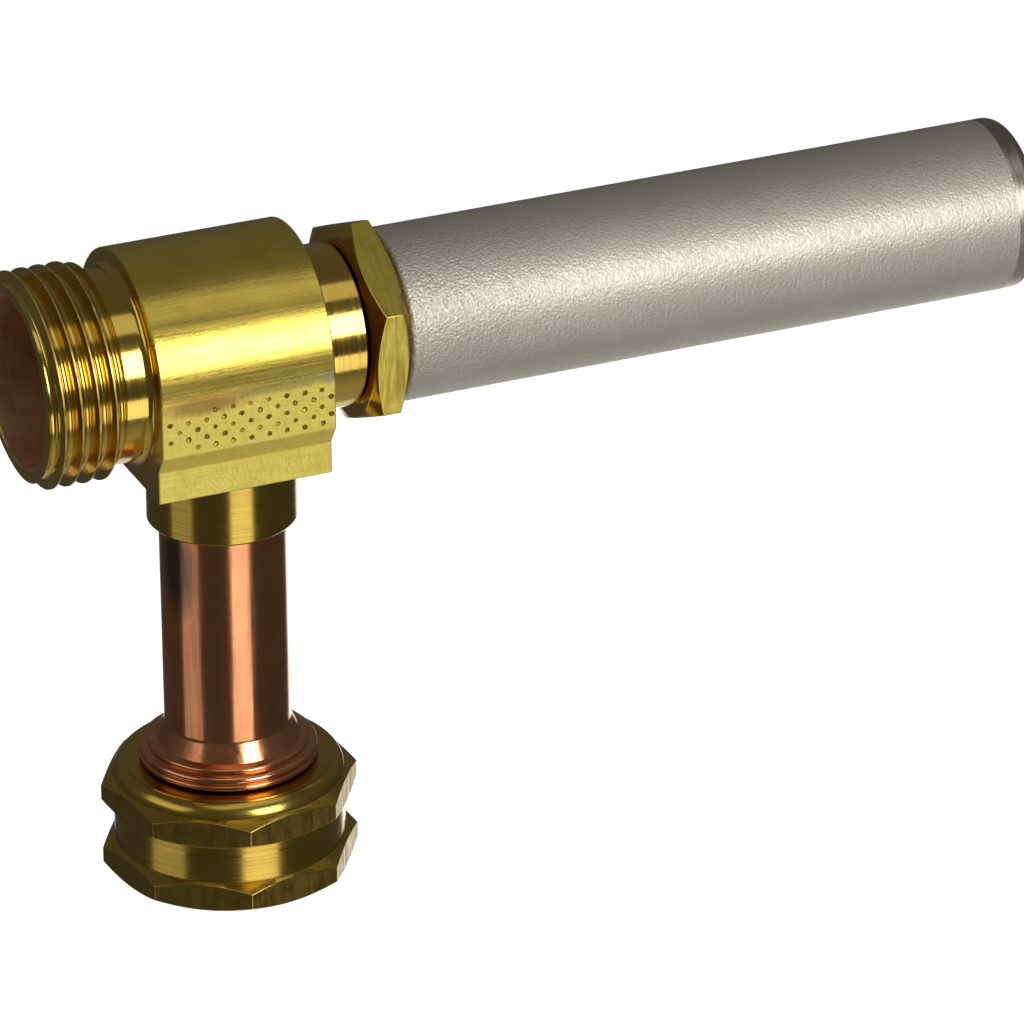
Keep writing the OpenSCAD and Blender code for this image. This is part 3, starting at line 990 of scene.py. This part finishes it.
@dataclass
class OctagonNut:
    """Brass swivel nut: two octagon bands, turned waist, domed shoulder and inner thread."""

    bottom: float = -1.0
    across_flats: float = 30.2
    band: float = 4.05
    waist_r: float = 14.6
    waist: float = 4.8
    dome: float = 1.8
    dome_r: float = 2.5
    dome_top_r: float = 13.5
    dome_step: float = 0.14
    dome_step_r: float = 13.15
    hole_r: float = 9.8
    shoulder: float = 3.0
    thread_r: float = 12.4
    thread_len: float = 5.2
    mouth: float = 1.0
    recess_r: float = 12.9
    turn: float = -12.0
    chamfer_angle: float = 31.0
    pitch: float = 2.209
    groove_start: float = -3.4
    groove_turns: int = 3
    groove_section: tuple[Point, ...] = (
        (-0.95, 11.8), (-0.94, 12.38), (-0.36, 13.35), (-0.2, 13.5), (0.2, 13.5), (0.36, 13.35),
        (0.94, 12.38), (0.95, 11.8))
    edge: float = 0.1
    flat_margin: float = 0.2

    @property
    def top(self) -> float:
        """Height of the nut's upper face."""
        return self.bottom + 2 * self.band + self.waist + self.dome

    @property
    def corner(self) -> float:
        """Distance of the octagon's corners from the axis."""
        return self.across_flats / 2 / math.cos(math.pi / 8)

    def band_outline(self, low: float) -> list[Point]:
        """Outline of one chamfered band, past the octagon's corners.

        Args:
            low: Height of the band's lower edge.

        Returns:
            Points from the lower edge up.
        """
        out, high = self.corner + REACH, low + self.band
        rise = (out - self.waist_r) * math.tan(math.radians(self.chamfer_angle))
        return [(low, self.waist_r), (low + rise, out), (high - rise, out), (high, self.waist_r)]

    def dome_outline(self) -> list[Point]:
        """Outline of the dome: rounded shoulder, small turned step and flat top ring.

        Returns:
            Points from inside the upper band to the top.
        """
        bands = self.top - self.dome
        chord = Vector((self.dome - self.dome_step, self.dome_top_r - self.waist_r))
        middle = Vector((bands, self.waist_r)) + chord / 2
        sagitta_leg = math.sqrt(self.dome_r ** 2 - (chord.length / 2) ** 2)
        centre = middle + Vector((chord.y, -chord.x)).normalized() * sagitta_leg
        start = math.degrees(math.atan2(self.waist_r - centre.y, bands - centre.x))
        end = math.degrees(math.atan2(self.dome_top_r - centre.y, self.top - self.dome_step - centre.x))
        shoulder = arc(centre.x, centre.y, self.dome_r, start, end, steps=12)
        half = self.dome_step / 2
        step = arc(self.top - half, self.dome_step_r - half, half, 90, 0, steps=4)
        return [(bands - REACH, self.waist_r - REACH), *shoulder,
                (self.top - self.dome_step, self.dome_step_r), *step]

    def bore_outline(self) -> list[Point]:
        """Outline of the cutter for mouth, thread, recess and hole.

        Returns:
            Points from below the nut to above it.
        """
        thread_low, ceiling = self.bottom + self.mouth, self.top - self.shoulder
        thread_top = thread_low + self.thread_len
        return [(self.bottom - REACH, self.thread_r + self.mouth + REACH), (thread_low, self.thread_r),
                (thread_top, self.thread_r), (thread_top, self.recess_r), (ceiling, self.recess_r),
                (ceiling, self.hole_r), (self.top + REACH, self.hole_r)]

    def build(self) -> Object:
        """Cuts the octagon, adds the dome and cuts bore and thread.

        Returns:
            The nut, undressed.
        """
        bands, upper = self.top - self.dome, self.bottom + self.band + self.waist
        stand = (Matrix.Translation(Vector((0, 0, self.bottom)) * MM)
                 @ Matrix.Rotation(math.radians(self.turn - 90), 4, "Z"))
        outline = [*self.band_outline(self.bottom), *self.band_outline(upper)]
        groove = HelixGroove(Axis.BRANCH, self.pitch, self.groove_start, self.groove_turns,
                             self.groove_section)
        nut = prism("octagon_nut", self.corner, 8, stand, Vector((0, 0, bands - self.bottom)))
        combine(nut, turned("bands", outline, Axis.BRANCH), Join.KEEP_SHARED)
        ease_edges(nut, self.edge)
        combine(nut, turned("dome", self.dome_outline(), Axis.BRANCH), Join.ADD)
        combine(nut, turned("bore", self.bore_outline(), Axis.BRANCH), Join.CUT)
        combine(nut, groove.build(), Join.CUT)
        return nut

    def _finish(self, face: Face) -> int:
        """Number of a face's finish: 1 on the octagon's flats, 0 elsewhere."""
        c = face.center / MM
        return int(abs(face.normal.z) < ALONG and math.hypot(c.x, c.y) > self.waist_r + self.flat_margin)

    def dress(self, nut: Object) -> None:
        """Gives the flats the drawn finish and the rest the turned one."""
        dress_faces(nut, [BRANCH_BRASS, FLAT_BRASS], self._finish)
        hand_over(nut, "swivel_nut", "nut")


@dataclass
class InnerParts:
    """Pieces inside that keep their CAD shape: piston, seal rings and hose washer."""

    finishes: dict[str, Moulded] = field(default_factory=lambda: {
        "piston": ACETAL, "piston_seal_front": NITRILE, "piston_seal_rear": NITRILE, "chamber_seal": NITRILE,
        "hose_washer": WASHER_RUBBER})

    def dress(self) -> None:
        """Gives each kept node its material."""
        made: dict[str, Material] = {}
        for node, finish in self.finishes.items():
            if finish.name not in made:
                made[finish.name] = finish.material()
            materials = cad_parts[node].data.materials
            materials.clear()
            materials.append(made[finish.name])
            LOG.info("%s keeps its shape and gets %s", node, finish.name)


@dataclass(frozen=True)
class Softbox:
    """A soft lamp at a direction from the object, as wide and high as it is seen from there."""

    name: str
    azimuth: float
    elevation: float
    width: float
    height: float
    radiance: float
    distance: float = 1.5

    def build(self, aim: Vector) -> None:
        """Hangs the lamp.

        Args:
            aim: Point that it faces, in metres.
        """
        a, e = math.radians(self.azimuth), math.radians(self.elevation)
        out = Vector((math.sin(a) * math.cos(e), -math.cos(a) * math.cos(e), math.sin(e)))
        lamp = bpy.data.lights.new(self.name, "AREA")
        lamp.shape = "RECTANGLE"
        lamp.size = 2 * self.distance * math.tan(math.radians(self.width / 2))
        lamp.size_y = 2 * self.distance * math.tan(math.radians(self.height / 2))
        lamp.energy = self.radiance * math.pi * lamp.size * lamp.size_y
        hung = bpy.data.objects.new(self.name, lamp)
        hung.location = aim + out * self.distance
        hung.rotation_mode = "QUATERNION"
        hung.rotation_quaternion = out.to_track_quat("Z", "Y")
        hung.visible_camera = False
        bpy.context.scene.collection.objects.link(hung)


@dataclass
class Studio:
    """Pale floor and backdrop, soft lamps, dim room and the camera."""

    aim: Vector = field(default_factory=lambda: Vector((0.02, 0, 0.05)))
    floor_low: Point = (0.1, 0.2)
    floor_high: Point = (0.74, 1.2)
    floor_z: float = -0.5
    mirrored_level: float = 0.5
    focal_px: float = 7349.4
    image_px: float = 1024.0
    sensor_mm: float = 36.0
    clip: Point = (0.01, 20.0)
    camera_at: Triple = (-0.29104, -0.7665, 0.44354)
    camera_right: Triple = (0.91719, -0.3984, -0.00644)
    camera_up: Triple = (0.17891, 0.39733, 0.90007)
    camera_back: Triple = (-0.35603, -0.82669, 0.4357)
    lamps: tuple[Softbox, ...] = (
        Softbox("key_softbox", 16, 21, 24, 27, 7.6),
        Softbox("front_reflector", 8, -31, 31, 23, 1.5),
        Softbox("back_reflector", 144, -31, 24, 20, 1.1, distance=0.9),
        Softbox("side_reflector", -86, -32, 32, 18, 0.52),
        Softbox("left_softbox", -88, 28, 42, 24, 0.9),
        Softbox("top_softbox", 6, 68, 54, 24, 0.62))

    def floor(self) -> None:
        """Lays the white sweep behind and below the object."""
        bm = bmesh.new()
        low, high = Vector((*self.floor_low, self.floor_z)), Vector((*self.floor_high, self.floor_z))
        bmesh.ops.create_grid(bm, x_segments=1, y_segments=1, size=0.5)
        bmesh.ops.scale(bm, verts=bm.verts, vec=high - low)
        bmesh.ops.translate(bm, verts=bm.verts, vec=(low + high) / 2)
        sweep = as_object(bm, "pale_floor")
        # White paper: full white to the camera, half as bright in a mirror
        made = bpy.data.materials.new("white_paper_sweep")
        tree = empty_tree(made)
        path = add_node(tree, "ShaderNodeLightPath")
        mirrored = add_node(tree, "ShaderNodeMath", {0: path.outputs["Is Glossy Ray"],
                                                     1: path.outputs["Is Transmission Ray"]}, operation="ADD")
        shown = add_node(tree, "ShaderNodeMath", {0: mirrored, 1: self.mirrored_level,
                                                  2: path.outputs["Is Camera Ray"]}, operation="MULTIPLY_ADD")
        paper = add_node(tree, "ShaderNodeBsdfDiffuse", {"Color": linear("#eeeeec")})
        white = add_node(tree, "ShaderNodeEmission",
                         {"Color": linear("#ffffff"), "Strength": shown})
        both = add_node(tree, "ShaderNodeAddShader", {0: paper, 1: white})
        add_node(tree, "ShaderNodeOutputMaterial", {"Surface": both})
        sweep.data.materials.append(made)

    def room(self) -> None:
        """Sets the dim room, brighter underneath, white where the camera looks past the floor."""
        world = bpy.data.worlds.new("studio_room")
        bpy.context.scene.world = world
        tree = empty_tree(world)
        way = add_node(tree, "ShaderNodeTexCoord").outputs["Generated"]
        height = add_node(tree, "ShaderNodeSeparateXYZ", {"Vector": way})
        below = add_node(tree, "ShaderNodeMapRange", {"Value": height.outputs["Z"], "From Min": -0.9,
                                                      "From Max": -0.65, "To Min": 0.35, "To Max": 0.065})
        above = add_node(tree, "ShaderNodeMapRange", {"Value": height.outputs["Z"], "From Min": -0.2,
                                                      "From Max": 0.2, "To Min": 0.0, "To Max": 0.04})
        level = add_node(tree, "ShaderNodeMath", {0: below, 1: above}, operation="ADD")
        walls = add_node(tree, "ShaderNodeBackground",
                         {"Color": linear("#fffaf2"), "Strength": level})
        white = add_node(tree, "ShaderNodeBackground", {"Color": linear("#ffffff"), "Strength": 1.0})
        path = add_node(tree, "ShaderNodeLightPath")
        both = add_node(tree, "ShaderNodeMixShader",
                        {0: path.outputs["Is Camera Ray"], 1: walls, 2: white})
        add_node(tree, "ShaderNodeOutputWorld", {"Surface": both})

    def camera(self) -> None:
        """Stands the camera where the photograph was taken."""
        data = bpy.data.cameras.new("camera")
        data.sensor_width = self.sensor_mm
        data.lens = data.sensor_width * self.focal_px / self.image_px
        data.clip_start, data.clip_end = self.clip
        held = bpy.data.objects.new("camera", data)
        turn = Matrix((self.camera_right, self.camera_up, self.camera_back)).transposed()
        held.matrix_world = Matrix.Translation(self.camera_at) @ turn.to_4x4()
        bpy.context.scene.collection.objects.link(held)
        bpy.context.scene.camera = held

    def build(self) -> None:
        """Sets up floor, room, lamps and camera."""
        self.floor()
        self.room()
        for lamp in self.lamps:
            lamp.build(self.aim)
        self.camera()
        bpy.context.scene.view_settings.view_transform = "Standard"


def main() -> None:
    """Builds and dresses the pieces in order, then the studio."""
    logging.basicConfig(level=logging.INFO, format="%(name)s: %(message)s")
    for part in (ThreadedTee(), HexAdapter(), SteelChamber(), CopperTail(), OctagonNut()):
        part.dress(part.build())
    InnerParts().dress()
    Studio().build()


if __name__ == "__main__":
    main()
